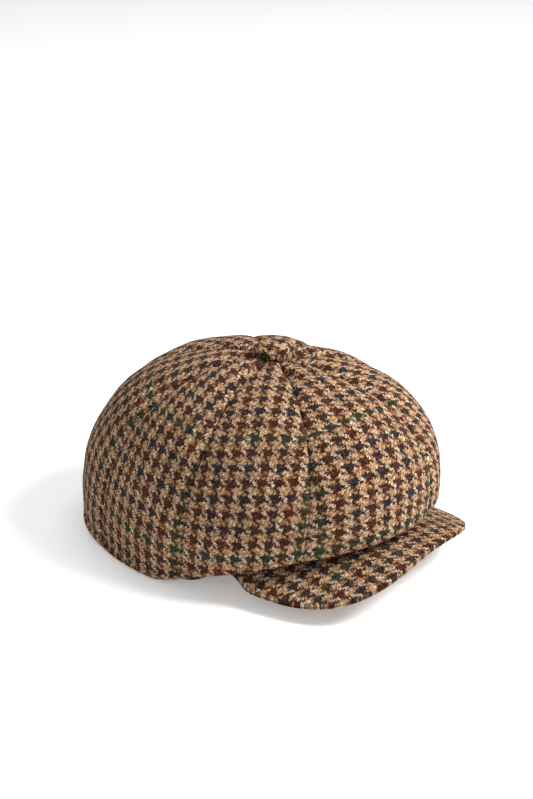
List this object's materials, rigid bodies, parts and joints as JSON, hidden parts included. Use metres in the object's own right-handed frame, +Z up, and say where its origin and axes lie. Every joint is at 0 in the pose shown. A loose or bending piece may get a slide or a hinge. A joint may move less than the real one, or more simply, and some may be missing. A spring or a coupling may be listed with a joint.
{
  "type": "newsboy cap",
  "caption": "Round, full newsboy cap with a panelled tweed crown, cloth-covered button, stiffened headband, lining and a short arched visor.",
  "frame": {"origin": "middle of the head opening, on the surface that the cap rests on", "axes": "+Z up, -Y the way the wearer looks, +X the wearer's left"},
  "size_m": [0.2114, 0.2884, 0.1427],
  "materials": {
    "tweed": "brown and tan houndstooth wool tweed with a green overcheck",
    "satin_lining": "brown satin",
    "sweatband_cotton": "dark cotton twill",
    "stiffener_buckram": "stiffened cotton",
    "visor_board": "flexible sheet",
    "button_tin": "pressed sheet",
    "thread": "waxed thread",
    "blank_label": "woven ribbon with no text"
  },
  "bodies": {
    "crown": {"crown_panel_1": "tweed", "crown_panel_2": "tweed", "crown_panel_3": "tweed", "crown_panel_4": "tweed", "crown_panel_5": "tweed", "crown_panel_6": "tweed", "crown_panel_7": "tweed", "crown_panel_8": "tweed", "lining_panel_1": "satin_lining", "lining_panel_2": "satin_lining", "lining_panel_3": "satin_lining", "lining_panel_4": "satin_lining", "lining_panel_5": "satin_lining", "lining_panel_6": "satin_lining", "lining_panel_7": "satin_lining", "lining_panel_8": "satin_lining", "sweatband": "sweatband_cotton", "band_stiffener": "stiffener_buckram", "headband": "tweed", "visor_seam_strip": "tweed", "button_back": "button_tin", "button_shell": "button_tin", "button_cover": "tweed", "crown_stay": "stiffener_buckram", "button_thread": "thread", "lining_label": "blank_label", "size_tab": "blank_label"},
    "visor": {"visor_board": "visor_board", "visor_top_cover": "tweed", "visor_under_cover": "tweed"}
  },
  "joints": [
    {"name": "visor_flex", "type": "hinge", "parent": "crown", "child": "visor", "pos_m": [0, -0.0455, 0.022], "axis": [1, 0, 0], "range_deg": [0, 6]}
  ]
}
